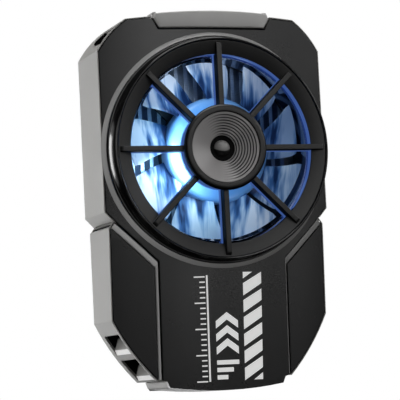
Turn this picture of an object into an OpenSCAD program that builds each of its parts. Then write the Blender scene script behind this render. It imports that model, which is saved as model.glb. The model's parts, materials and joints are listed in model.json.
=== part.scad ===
// Clip-on cooling fan for a phone, in millimetres.
// X runs to the right, Z up along the long side, and the fan faces -Y.
// The origin is the middle of the face that touches the phone.

/* [Housing] */
// Width of the housing across its upper half
body_w = 54; // [53.5:0.25:54.5]
// Depth of the side walls, front edge to rear edge
body_depth = 17.2; // [17.2:0.1:17.8]
// Thickness of the side walls
wall = 1.6; // [1.5:0.1:1.7]
// Height by which the front plate bulges in the middle
crown_h = 3; // [2.8:0.1:3.2]
// Slope of the lower part of the front, in degrees
lower_slope = 2.9; // [2.5:0.1:3.1]
// Width of the shadow gap around the front panels
seam = 0.23; // [0.2:0.01:0.26]

/* [Fan] */
// Number of spokes in the grille
spoke_count = 8; // [6:1:10]
// Width of a spoke
spoke_w = 1.25; // [1:0.05:1.5]
// Radius of the opening in the grille
open_r = 22; // [21.8:0.1:22.4]
// Number of blades on the impeller
blade_count = 9; // [5:1:9]
// Pitch of the blades, in degrees
blade_pitch = 26; // [24:1:34]
// Number of fine grooves in the hub disc
groove_count = 8; // [6:1:10]

/* [Cooling] */
// Number of fins on the heat sink
fin_count = 17; // [11:2:17]
// Length of the fins
fin_l = 42.6; // [40:0.2:43]
// Thickness of a fin
fin_t = 0.9; // [0.6:0.1:1]
// Number of light-emitting diodes around the motor
led_count = 8; // [4:1:10]

/* [Clamp] */
// Greatest thickness of phone that the hooks hold
grip = 9.5; // [8.5:0.5:11]
// Half width of the hooks
hook_hw = 12; // [10:0.5:12]

/* [Hidden] */
$fn = 96;
eps = 0.01;
a = body_w / 2;            // half width of the upper half
c = a - 2.1;               // half width at the side notch
aw = a - 1;                // half width of the lower half
xt = a - 6.5;              // upper end of the top corner bevel
zt = 30.58;
z1 = 23.5;
z3 = -13.7;
z4 = -16;
zw1 = -17.45;
zw2 = -38.5;
cw = 16.3;
zw3 = -52.4;
q = 15.3;                  // half width of the central lower panel
zq = -25.4;
ye = body_depth;           // rear edge of the side walls
y_face = ye + 2.6;         // face that touches the phone
yf = 0.4 - crown_h;        // front of the plate in the middle
rc = a * a / (2 * crown_h); // radius of the crowned front
zk = -20;                  // height where the lower slope begins
y_web = ye - 5.8;          // front of the inner wall
y_web2 = ye - 4.6;
y_arm = ye - 4.2;          // sliding arms
y_arm2 = ye - 1.8;
y_rc = ye - 1.5;           // front of the rear cover
y_fin = 5.4;
y_lip = y_face + grip;     // inner face of the hook lips
hub_y = -7.96;
spoke_y = -6.3;
z_jaw = 21;                // upper hook, inner side
z_low = -46;               // lower hook, inner side
arm_x = 18;
sx = 17.4;                 // fan screw positions
sz = 17.2;

// ---- shared shapes

module place() translate([0, -y_face, 0]) children();

// prism with an XZ outline between two depths
module prism(pts, y0, y1) translate([0, y1, 0]) rotate([90, 0, 0]) linear_extrude(height = y1 - y0) polygon(pts);

// round bar along Y
module bar(r, y0, y1, x = 0, z = 0) translate([x, y1, z]) rotate([90, 0, 0]) cylinder(r = r, h = y1 - y0);

// body turned about the fan axis from [radius, depth] points
module turned(pts) rotate([90, 0, 0]) rotate_extrude() polygon([for (p = pts) [p[0], -p[1]]]);

// flat plate across the fan axis, from a plan in X and Z
module plate(y0, y1) translate([0, y1, 0]) rotate([90, 0, 0]) linear_extrude(height = y1 - y0) union() children();

module box(x0, x1, y0, y1, z0, z1) translate([x0, y0, z0]) cube([x1 - x0, y1 - y0, z1 - z0]);

// everything behind the crowned front, set back by o
module crown(o) intersection() {
  translate([0, yf + rc, -75]) cylinder(r = rc - o, h = 150, $fn = 360);
  translate([0, yf, zk]) rotate([lower_slope, 0, 0]) translate([0, rc, -90]) cylinder(r = rc - o, h = 180, $fn = 360);
}

function arc(p, e, s, n = 8) = [for (i = [0:n]) let (t = i / n, d = e - p, l = norm(d), nn = [-d[1], d[0]] / l) p + d * t + nn * s * 4 * t * (1 - t)];
function inner(l) = [for (i = [1:len(l) - 2]) l[i]];
function flip(l) = [for (i = [len(l) - 1:-1:0]) [-l[i][0], l[i][1]]];

// right half of the housing outline, grown by e
function side(e) = concat(
  arc([xt + 0.44 * e, zt + e], [a + e, z1 + 0.39 * e], 0.55),
  [[a + e, z3 - 0.4 * e], [c + 1.2 * e, z4], [aw + e, zw1 + 0.4 * e]],
  arc([aw + e, zw2 - 0.32 * e], [cw + 0.52 * e, zw3 - e], 0.7));
function outline(e) = concat(side(e), flip(side(e)), inner(arc([-xt - 0.44 * e, zt + e], [xt + 0.44 * e, zt + e], 0.95)));

// front plate, a seam inside the rim of the shell
rim = 0.08;
g = rim - seam;
cover_side = concat(arc([xt + 0.44 * g, zt + g], [a + g, z1 + 0.39 * g], 0.55), [[a + g, z3 - 0.4 * g], [c + 1.2 * g, z4], [q, zq], [q, zw3 - 0.25], [14.45, zw3 - 0.5], [13.8, zw3 - 2]]);
cover_pts = concat(cover_side, inner(arc([13.8, zw3 - 2], [-13.8, zw3 - 2], 1.1)), flip(cover_side), inner(arc([-xt - 0.44 * g, zt + g], [xt + 0.44 * g, zt + g], 0.95)));

// bevel strip and wing panel on the right
wn = [(z4 - zq), -(c - q)] / norm([c - q, z4 - zq]);
p4 = [c, z4];
slope = (z4 - zq) / (c - q);
// height at x of the diagonal edge that is set d away from the front plate
function diag(x, d) = z4 + d * wn[1] - slope * (c + d * wn[0] - x);
trim_pts = [p4 + wn * 0.27, [q + 0.27, diag(q + 0.27, 0.27)], [q + 0.27, zw3], [q + 0.85, zw3], [q + 0.85, diag(q + 0.85, 1.6)], p4 + wn * 1.6];
wing_pts = [[q + 1, -60], [q + 1, diag(q + 1, 1.78)], [32, diag(32, 1.78)], [32, -60]];
wing_zone = [p4, [q, zq], [q, -60], [32, -60], [32, z4]];

// tab of the sliding jaw and the recess around it
tab_gap = 0.42;
function tab_pts() = concat([[14.16, 30.9], [12.84, 28.63], [-12.84, 28.63], [-14.16, 30.9]], arc([-13.7, 32.04], [13.7, 32.04], 0.55));
function notch_pts(g) = [[14.16 + g, 36], [14.16 + g, 30.9], [12.84 + 0.8 * g, 28.63 - g], [-12.84 - 0.8 * g, 28.63 - g], [-14.16 - g, 30.9], [-14.16 - g, 36]];

// lower corner bevel: start, direction and inward normal
w2 = [aw + 0.3, zw2 - 0.1];
w3 = [cw + 0.16, zw3 - 0.3];
wl = norm(w3 - w2);
wu = (w3 - w2) / wl;
wi = [wu[1], -wu[0]];
function low(s, n) = w2 + wu * s * wl + wi * n;
// pocket with a shallow ledge and a ramp at its lower end
function under(s, d) = low(s, d - 2.8 * s * (1 - s));
function low_vent(s0, s1) = [low(s0, -2), low(s1, -2), under(s1, 0.05), under(s1 - 0.075, 0.36), under(s1 - 0.17, 2.5), low(s1 - 0.17, 3.6), low(s0, 3.6)];
// upper corner bevel
t1 = [a + 0.3, z1 + 0.1];
t2 = [xt + 0.13, zt + 0.3];
tu = (t2 - t1) / norm(t2 - t1);
tl = norm(t2 - t1);

// ---- housing

module rear_shell() color([0.62, 0.61, 0.59]) place() difference() {
  union() {
    difference() {
      intersection() {
        prism(outline(0.3), -6, ye);
        crown(0.12);
      }
      prism(outline(0.3 - wall), -8, y_web);
      prism(outline(0.2 - wall), y_web2, ye + 1);
      // seat of the front plate inside the rim
      difference() {
        union() {
          prism(outline(rim), -8, 8);
          box(-q - 0.05, q + 0.05, -8, 8, zw3 - 1, zw3 + 1);
        }
        crown(0.9);
      }
      // lower rim and seats of the wing panels
      difference() {
        union() {
          prism(wing_zone, -8, 8);
          mirror([1, 0, 0]) prism(wing_zone, -8, 8);
        }
        crown(1);
      }
      difference() {
        intersection() {
          union() {
            prism(wing_zone, -8, 8);
            mirror([1, 0, 0]) prism(wing_zone, -8, 8);
          }
          prism(outline(rim), -9, 9);
        }
        crown(1.75);
      }
    }
    // roof under the sliding bridge
    intersection() {
      box(-16, 16, -4, y_web2, 28.9, 30.55);
      crown(1.7);
    }
    for (m = [0, 1]) mirror([m, 0, 0]) {
      // thick lower corners that carry the vents
      prism([low(0.04, 0.1), low(0.985, 0.1), low(0.985, 3.4), low(0.04, 3.4)], 4, y_rc);
      // guide rails for the sliding arms
      box(20, 20.9, y_web2 - 0.2, y_rc, -23, 17);
      // bosses for the rear cover
      bar(1.9, y_web2 - 0.2, y_rc, 23.2, 14);
      bar(1.9, y_web2 - 0.2, y_rc, 22.4, -30);
    }
    // board posts
    bar(1.9, 5.4, y_web + 0.2, -11, -31);
    bar(1.9, 5.4, y_web + 0.2, -11, -47.5);
    bar(1.9, 5.4, y_web + 0.2, 11, -47.5);
  }
  // room for the drum
  bar(26.55, -8, 1.05);
  // recess for the bridge and the tab
  box(-14.5, 14.5, -8, ye + 1, 30.55, 40);
  difference() {
    prism(notch_pts(tab_gap), -8, 3);
    crown(1.7);
  }
  // way out for the slide and the hook
  box(-20, 20, y_web2 + 0.1, y_rc - 0.05, 28, 36);
  box(-hook_hw - 0.6, hook_hw + 0.6, y_web2 + 0.1, ye + 1, 28, 36);
  // window for the thermoelectric module
  box(-12.8, 12.8, y_web - 1, y_web2 + 1, -14.8, 14.8);
  for (m = [0, 1]) mirror([m, 0, 0]) {
    prism(low_vent(0.2, 0.51), 3, ye - 2.6);
    prism(low_vent(0.6, 0.97), 2.5, ye - 2.6);
    // slot in the top corner bevel
    translate([t1[0], 0, t1[1]]) rotate([0, -atan2(tu[1], tu[0]), 0]) translate([0, 0, -1.5]) linear_extrude(height = 3.4)
      polygon([[0.2 * tl, 1.3], [0.26 * tl, 8.5], [0.42 * tl, y_web - 0.2], [0.8 * tl, y_web - 0.2], [0.8 * tl, 1.3]]);
    // crease and slot in the side notch
    box(c + 0.05, a + 1, 1.6, ye - 1.4, z4 - 0.1, z4 + 0.16);
    box(c - 0.1, a + 1, 1.5, ye - 0.9, z4 - 1.02, z4 - 0.4);
    bar(0.85, y_web2 - 1, y_rc + 1, 23.2, 14);
    bar(0.85, y_web2 - 1, y_rc + 1, 22.4, -30);
    for (z = [-sz, sz]) bar(1, y_web - 1, y_web2 + 1, sx, z);
  }
  for (p = [[-11, -31], [-11, -47.5], [11, -47.5]]) bar(0.8, 5, 9, p[0], p[1]);
  // charging socket
  socket_shape(9.4, 3.7, 23, 30);
}

// upright slot shape along X, used for the socket
module socket_shape(w, h, x0, x1) translate([x0, 7, -32.4]) rotate([0, 90, 0]) linear_extrude(height = x1 - x0) union() {
  square([w - h, h], center = true);
  translate([(w - h) / 2, 0]) circle(r = h / 2);
  translate([(h - w) / 2, 0]) circle(r = h / 2);
}

module rear_cover() color([0.16, 0.16, 0.17]) place() difference() {
  prism(outline(-0.1 - wall), y_rc, ye);
  box(-15.3, 15.3, y_rc - 1, ye + 1, -17.8, 17.8);
  box(-hook_hw - 0.6, hook_hw + 0.6, y_rc - 1, ye + 1, 19.6, 40);
  for (m = [-1, 1], p = [[23.2, 14], [22.4, -30]]) {
    bar(0.95, y_rc - 1, ye + 1, m * p[0], p[1]);
    bar(1.75, ye - 0.9, ye + 1, m * p[0], p[1]);
  }
  // fine slots over the lower chamber
  for (i = [-4:4]) box(i * 2.6 - 0.6, i * 2.6 + 0.6, y_rc - 1, ye + 1, -38, -26);
}

module front_cover() color([0.1, 0.1, 0.1]) place() difference() {
  intersection() {
    prism(cover_pts, -8, 8);
    crown(0);
  }
  difference() {
    crown(0.9);
    prism(outline(-wall), -9, 9);
  }
  crown(1.6);
  bar(26.5, -9, 9);
  prism(notch_pts(tab_gap), -9, 9);
}

module wing() difference() {
  intersection() {
    prism(wing_pts, -8, 8);
    prism(outline(g), -9, 9);
    crown(0.9);
  }
  difference() {
    crown(1.75);
    prism(outline(-wall), -9, 9);
  }
  crown(2.3);
}
module left_wing_panel() color([0.11, 0.11, 0.11]) place() mirror([1, 0, 0]) wing();
module right_wing_panel() color([0.11, 0.11, 0.11]) place() wing();

module bevel() difference() {
  intersection() {
    prism(trim_pts, -8, 8);
    prism(outline(g), -9, 9);
    crown(0.57);
  }
  crown(1.75);
}
module left_bevel_trim() color([0.45, 0.45, 0.44]) place() mirror([1, 0, 0]) bevel();
module right_bevel_trim() color([0.45, 0.45, 0.44]) place() bevel();

module ring_trim() color([0.45, 0.45, 0.44]) place() difference() {
  intersection() {
    bar(27.5, -8, 4);
    crown(-0.95);
  }
  crown(0);
  bar(26.5, -9, 5);
}

// ---- fan front

module bezel_drum() color([0.03, 0.03, 0.03]) place() turned([[24, 0.9], [26.4, 0.9], [26.4, -1.9], [26.3, -3], [26.12, -4.2], [25.92, -5.3], [25.86, -5.8],
  [25.74, -6.08], [25.52, -6.2], [25.32, -6.12], [25.2, -5.95], [25.2, -3.2], [24, -3.2]]);

module grille() color([0.12, 0.12, 0.12]) place() union() {
  turned([[25.16, -4], [25.16, -5.9], [open_r, -4.85], [open_r, -4]]);
  for (i = [0:spoke_count - 1]) rotate([0, i * 360 / spoke_count, 0]) box(8.5, 24.7, spoke_y, -4, -spoke_w / 2, spoke_w / 2);
  turned([[0, -4], [9.07, -4], [9.3, -6.2], [9.95, -6.9], [9.95, hub_y + 0.6], [9.4, hub_y], [8.2, hub_y], [8.2, -7.3], [3.2, -4.6], [0, -4.6]]);
}

module light_guide() color([0.35, 0.55, 0.95]) place() plate(-4, -3.2) {
  difference() {
    circle(r = 25.16);
    circle(r = open_r - 0.15);
  }
  for (i = [0:spoke_count - 1]) rotate(i * 360 / spoke_count) translate([8.5, -spoke_w / 2 - 0.3]) square([open_r - 7.5, spoke_w + 0.6]);
  difference() {
    circle(r = 10.2);
    circle(r = 5);
  }
}

// dished disc with fine grooves
function dish(r) = -7.62 + (8.15 - r) * 0.47;
function groove_r(i) = 3.3 + i * 4.8 / groove_count;
module hub_disc() color([0.45, 0.44, 0.44]) place() turned(concat([[3.05, dish(3.05) + 0.4], [8.15, dish(8.15) + 0.32], [8.15, dish(8.15)]],
  [for (i = [groove_count - 1:-1:0]) each [[groove_r(i) + 0.17, dish(groove_r(i) + 0.17)], [groove_r(i), dish(groove_r(i)) + 0.2], [groove_r(i) - 0.17, dish(groove_r(i) - 0.17)]]],
  [[3.05, dish(3.05)]]));

module hub_stud() color([0.42, 0.42, 0.42]) place() intersection() {
  translate([0, -4.1, 0]) sphere(r = 2);
  box(-3, 3, -8, -4.6, -3, 3);
}

module fan_shroud() color([0.08, 0.08, 0.09]) place() difference() {
  bar(22.6, -3, 4.1);
  bar(21.4, -4, 5);
}

module fan_frame() color([0.08, 0.08, 0.09]) place() plate(4.1, y_fin) difference() {
  union() {
    difference() {
      circle(r = 23.6);
      circle(r = 21.4);
    }
    circle(r = 12.4);
    for (i = [0:3]) rotate(45 + i * 90) translate([11, -1.6]) square([11, 3.2]);
    for (x = [-sx, sx], z = [-sz, sz]) translate([x, z]) circle(r = 2.3);
  }
  circle(r = 2);
  for (x = [-sx, sx], z = [-sz, sz]) translate([x, z]) circle(r = 1.05);
}

module led_board() color([0.05, 0.2, 0.12]) place() difference() {
  bar(12.2, 3.5, 4.1);
  bar(8.9, 3, 5);
}

module leds() color([0.8, 0.92, 1]) place() for (i = [0:led_count - 1]) rotate([0, (i + 0.5) * 360 / led_count, 0]) box(9.6, 11.2, 2.95, 3.5, -0.8, 0.8);

// ---- motor

module bearing_sleeve() color([0.7, 0.55, 0.3]) place() difference() {
  bar(2, -0.9, y_fin);
  bar(0.94, -2, 6);
}

module stator_core() color([0.4, 0.4, 0.42]) place() difference() {
  union() {
    bar(2.9, 0, 1.8);
    for (i = [0:5]) rotate([0, i * 60, 0]) box(2.5, 5.2, 0, 1.8, -0.6, 0.6);
    intersection() {
      difference() {
        bar(5.7, 0, 1.8);
        bar(4.9, -1, 3);
      }
      for (i = [0:5]) rotate([0, i * 60, 0]) box(3, 6.5, 0, 1.8, -2.1, 2.1);
    }
  }
  bar(2, -1, 3);
}

module stator_coils() color([0.72, 0.38, 0.18]) place() for (i = [0:5]) rotate([0, i * 60, 0]) difference() {
  box(3.1, 4.75, -0.6, 2.4, -1.15, 1.15);
  box(2.5, 5.5, 0, 1.8, -0.6, 0.6);
}

// inner cup for the yoke, wide hub around it and pitched blades
module impeller() color([0.75, 0.85, 0.95]) place() union() {
  turned([[0, -2.8], [8.2, -2.8], [8.2, -1.9], [11.6, -1.9], [12.4, -1.1], [12.4, 2.9], [11.6, 2.9], [11.6, -1.1], [8.2, -1.1], [8.2, 2.9], [7.5, 2.9], [7.5, -1.9], [0, -1.9]]);
  for (i = [0:blade_count - 1]) rotate([0, -10 - i * 360 / blade_count, 0]) intersection() {
    translate([12, 0, 0]) rotate([blade_pitch, 0, 0]) box(0, 9.5, -0.4, 0.4, -5.6, 5.6);
    difference() {
      bar(20.9, -2.6, 2.6);
      bar(12.1, -4, 4);
    }
  }
}

module rotor_yoke() color([0.5, 0.5, 0.52]) place() difference() {
  bar(7.5, -1.9, 2.6);
  bar(7, -1.4, 4);
  bar(0.9, -3, 0);
}

module rotor_magnet() color([0.18, 0.18, 0.2]) place() difference() {
  bar(7, -1.2, 2.4);
  bar(6, -3, 4);
}

module shaft() color([0.75, 0.75, 0.77]) place() bar(0.9, -1.9, 5.2);

// ---- heat path

module heat_sink() color([0.75, 0.76, 0.78]) place() difference() {
  union() {
    box(-19, 19, y_web - 1.4, y_web, -fin_l / 2, fin_l / 2);
    for (i = [0:fin_count - 1]) let (x = -19 + i * (38 - fin_t) / (fin_count - 1)) box(x, x + fin_t, y_fin, y_web - 1.3, -fin_l / 2, fin_l / 2);
  }
  for (x = [-sx, sx], z = [-sz, sz]) {
    bar(1.05, y_fin - 1, y_web + 1, x, z);
    box(x - 2.4, x + 2.4, y_fin - 1, y_web - 1.4, z - 2.4, z + 2.4);
  }
}

module fan_screws() color([0.6, 0.6, 0.62]) place() for (x = [-sx, sx], z = [-sz, sz]) {
  bar(0.95, 4, y_web2 - 0.3, x, z);
  difference() {
    bar(1.7, 3.1, 4.1, x, z);
    box(x - 1.1, x + 1.1, 2.6, 3.5, z - 0.2, z + 0.2);
    box(x - 0.2, x + 0.2, 2.6, 3.5, z - 1.1, z + 1.1);
  }
}

module tec_hot_plate() color([0.9, 0.9, 0.88]) place() box(-12.5, 12.5, y_web, y_web + 0.7, -14.5, 14.5);
module tec_pellets() color([0.35, 0.35, 0.37]) place() for (i = [0:5], j = [0:6]) translate([-11.4 + i * 4.1, y_web + 0.7, -13.2 + j * 4.05]) cube([2.2, 1.6, 2.2]);
module tec_cold_plate() color([0.9, 0.9, 0.88]) place() box(-12.5, 12.5, y_web + 2.3, y_web + 3, -14.5, 14.5);

module insulation_frame() color([0.12, 0.12, 0.12]) place() difference() {
  box(-15, 15, y_web2, y_web + 3, -17.5, 17.5);
  box(-12.8, 12.8, y_web2 - 1, y_web + 4, -14.8, 14.8);
}

module cold_plate() color([0.78, 0.79, 0.8]) place() union() {
  box(-15, 15, y_web + 3, y_face - 1.1, -17.5, 17.5);
  box(-14.6, 14.6, y_face - 1.3, y_face - 0.5, -17.1, 17.1);
}

module thermal_pad() color([0.5, 0.52, 0.55]) place() box(-14, 14, y_face - 0.5, y_face, -16.5, 16.5);

// ---- electronics

module control_board() color([0.05, 0.25, 0.14]) place() difference() {
  prism([[-13.5, -28.5], [24, -28.5], [24, -37.2], [13.5, -37.2], [13.5, -50.2], [-13.5, -50.2]], 4.2, 5.4);
  for (p = [[-11, -31], [-11, -47.5], [11, -47.5]]) bar(1, 3, 7, p[0], p[1]);
}

module board_parts() color([0.1, 0.1, 0.11]) place() {
  box(-4, 3, 5.4, 6.6, -40, -33);
  box(-10, -4.5, 5.4, 8.4, -43.5, -37.5);
  bar(2.6, 5.4, 10.4, 5.5, -45.5);
  bar(2, 5.4, 9.4, -3, -46.5);
  box(6, 9.5, 5.4, 6.4, -35, -31.5);
  box(11.5, 15.5, 5.4, 6.6, -36, -33);
}

module board_screws() color([0.6, 0.6, 0.62]) place() for (p = [[-11, -31], [-11, -47.5], [11, -47.5]]) {
  bar(0.75, 4.1, 8.6, p[0], p[1]);
  difference() {
    bar(1.6, 3.4, 4.2, p[0], p[1]);
    box(p[0] - 1, p[0] + 1, 3, 3.8, p[1] - 0.2, p[1] + 0.2);
    box(p[0] - 0.2, p[0] + 0.2, 3, 3.8, p[1] - 1, p[1] + 1);
  }
}

module usb_port() color([0.7, 0.7, 0.72]) place() union() {
  difference() {
    socket_shape(8.94, 3.18, 18.7, aw + 0.05);
    socket_shape(8.34, 2.56, 19.6, aw + 1);
  }
  box(19.3, aw - 0.6, 6.65, 7.35, -35.75, -29.05);
}

// ---- clamp

module upper_jaw() color([0.5, 0.5, 0.49]) place() union() {
  // bridge over the top and the front tab
  intersection() {
    union() {
      prism(concat([[13.6, 30.85], [-13.6, 30.85]], arc([-13.7, 32.04], [13.7, 32.04], 0.55)), -8, y_arm2);
      difference() {
        prism(tab_pts(), -8, 3);
        crown(1);
      }
    }
    crown(-0.4);
  }
  box(-13.6, 13.6, y_arm, y_arm2, 30, 31);
  // slide with two arms
  prism([[-arm_x - 1.6, -15.5], [-arm_x + 1.6, -15.5], [-arm_x + 1.6, 20.4], [arm_x - 1.6, 20.4], [arm_x - 1.6, -15.5], [arm_x + 1.6, -15.5], [arm_x + 1.6, 28.4], [arm_x, 30.2], [-arm_x, 30.2], [-arm_x - 1.6, 28.4]], y_arm, y_arm2);
  for (m = [-1, 1]) {
    box(m * arm_x - 0.9, m * arm_x + 0.9, y_arm, y_arm + 0.6, -17.9, -15.4);
    bar(0.7, y_arm, y_arm2, m * arm_x, -17);
  }
  // rear hook
  box(-hook_hw, hook_hw, y_arm2 - 0.5, y_lip + 2, z_jaw, z_jaw + 3);
  box(-hook_hw, hook_hw, y_lip, y_lip + 2, z_jaw - 2.7, z_jaw + 1);
}

module upper_jaw_pad() color([0.07, 0.07, 0.07]) place() box(-hook_hw + 1, hook_hw - 1, y_face + 0.2, y_lip - 0.1, z_jaw - 0.8, z_jaw);

module lower_jaw() color([0.6, 0.59, 0.57]) place() union() {
  intersection() {
    prism(concat([[-14.45, zw3 - 0.3], [14.45, zw3 - 0.3]], arc([13.8, zw3 - 2], [-13.8, zw3 - 2], 1.1)), -5, ye + 0.5);
    crown(0.9);
  }
  box(-hook_hw - 1, hook_hw + 1, ye, ye + 1.8, zw3 - 2, z_low);
  box(-hook_hw, hook_hw, ye + 1, y_lip + 2, z_low - 3, z_low);
  box(-hook_hw, hook_hw, y_lip, y_lip + 2, z_low - 1, z_low + 2.7);
}

module lower_jaw_pad() color([0.07, 0.07, 0.07]) place() box(-hook_hw + 1, hook_hw - 1, y_face + 0.2, y_lip - 0.1, z_low, z_low + 0.8);

// close-wound extension spring with a loop at each end
spring_p = 0.53;
spring_n = 39;
module spring(x) place() translate([x, (y_arm + y_arm2) / 2, 0]) union() {
  translate([0, 0, -39.4]) rotate_extrude() polygon(concat([[0.72, 0]], [for (i = [0:spring_n - 1]) each [[1, i * spring_p], [1.28, (i + 0.5) * spring_p]]], [[1, spring_n * spring_p], [0.72, spring_n * spring_p]]));
  for (z = [-17, -41]) translate([0, 0, z]) rotate([90, 0, 0]) rotate_extrude() translate([1.2, 0]) circle(r = 0.28);
  for (s = [[-18.9, 0.7], [-39.8, 0.7]]) translate([0, 0, s[0]]) cylinder(r = 1.05, h = s[1]);
}
module left_spring() color([0.7, 0.7, 0.72]) spring(-arm_x);
module right_spring() color([0.7, 0.7, 0.72]) spring(arm_x);

module spring_posts() color([0.6, 0.6, 0.62]) place() for (m = [-1, 1]) {
  bar(1.2, y_web2, y_arm + 0.5, m * arm_x, -41);
  bar(0.7, y_web2, y_arm2 + 0.1, m * arm_x, -41);
}

module case_screws() color([0.2, 0.2, 0.21]) place() for (m = [-1, 1], p = [[23.2, 14], [22.4, -30]]) {
  bar(0.8, y_web2 + 0.4, ye - 0.8, m * p[0], p[1]);
  difference() {
    bar(1.6, ye - 0.9, ye, m * p[0], p[1]);
    box(m * p[0] - 1, m * p[0] + 1, ye - 0.5, ye + 1, p[1] - 0.2, p[1] + 0.2);
    box(m * p[0] - 0.2, m * p[0] + 0.2, ye - 0.5, ye + 1, p[1] - 1, p[1] + 1);
  }
}

rear_shell();
rear_cover();
front_cover();
left_wing_panel();
right_wing_panel();
left_bevel_trim();
right_bevel_trim();
ring_trim();
bezel_drum();
grille();
light_guide();
hub_disc();
hub_stud();
fan_shroud();
fan_frame();
led_board();
leds();
bearing_sleeve();
stator_core();
stator_coils();
impeller();
rotor_yoke();
rotor_magnet();
shaft();
heat_sink();
fan_screws();
tec_hot_plate();
tec_pellets();
tec_cold_plate();
insulation_frame();
cold_plate();
thermal_pad();
control_board();
board_parts();
board_screws();
usb_port();
upper_jaw();
upper_jaw_pad();
lower_jaw();
lower_jaw_pad();
left_spring();
right_spring();
spring_posts();
case_screws();
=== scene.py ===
import json
import math

import bmesh
import bpy
from mathutils import Matrix, Vector

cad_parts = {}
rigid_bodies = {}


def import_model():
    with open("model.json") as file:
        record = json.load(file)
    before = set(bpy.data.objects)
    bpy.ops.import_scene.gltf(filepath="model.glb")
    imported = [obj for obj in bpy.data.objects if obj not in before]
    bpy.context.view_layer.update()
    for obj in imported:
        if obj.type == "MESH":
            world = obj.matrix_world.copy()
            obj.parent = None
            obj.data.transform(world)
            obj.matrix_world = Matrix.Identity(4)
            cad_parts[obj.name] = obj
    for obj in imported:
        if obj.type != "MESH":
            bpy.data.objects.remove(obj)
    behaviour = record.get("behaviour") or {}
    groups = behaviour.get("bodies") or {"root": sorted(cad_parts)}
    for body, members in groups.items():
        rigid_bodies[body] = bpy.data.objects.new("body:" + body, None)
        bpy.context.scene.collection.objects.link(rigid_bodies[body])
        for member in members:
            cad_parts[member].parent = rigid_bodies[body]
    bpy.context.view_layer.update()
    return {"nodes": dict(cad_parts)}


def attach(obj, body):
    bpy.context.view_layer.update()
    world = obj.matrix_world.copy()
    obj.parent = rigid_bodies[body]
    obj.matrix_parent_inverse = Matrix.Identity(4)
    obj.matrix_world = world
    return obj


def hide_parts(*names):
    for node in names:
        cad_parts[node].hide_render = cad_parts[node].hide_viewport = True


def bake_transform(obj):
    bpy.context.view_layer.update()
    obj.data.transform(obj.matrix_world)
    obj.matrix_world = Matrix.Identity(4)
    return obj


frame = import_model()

NODES = frame["nodes"]

# ------------------------------------------------------------------ sizes, in millimetres
# depth is counted from the front side edges of the housing; the row frame starts at the face on the phone
Y_FACE = 19.8
A, C, AW, XT = 27.0, 24.9, 26.0, 20.5
ZT, Z1, Z3, Z4 = 30.58, 23.5, -13.7, -16.0
ZW1, ZW2, CW, ZW3 = -17.45, -38.5, 16.3, -52.4
Q, ZQ = 15.3, -25.4
YF, RC, ZK = -2.6, 121.5, -20.0
SLOPE = math.radians(2.9)


def P(x, y, z):
    return Vector((x * 0.001, (y - Y_FACE) * 0.001, z * 0.001))


def front(x, z, o=0.0):
    """Depth of the crowned front, set back by o."""
    u = math.sqrt((RC - o) ** 2 - x * x)
    y1 = YF + RC - u
    y2 = YF + (RC - u) / math.cos(SLOPE) - math.tan(SLOPE) * (z - ZK)
    return max(y1, y2)


def smooth(e0, e1, x):
    t = min(max((x - e0) / (e1 - e0), 0.0), 1.0)
    return t * t * (3 - 2 * t)


def lerp(p, q, t):
    return p + (q - p) * t


# ------------------------------------------------------------------ materials


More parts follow.
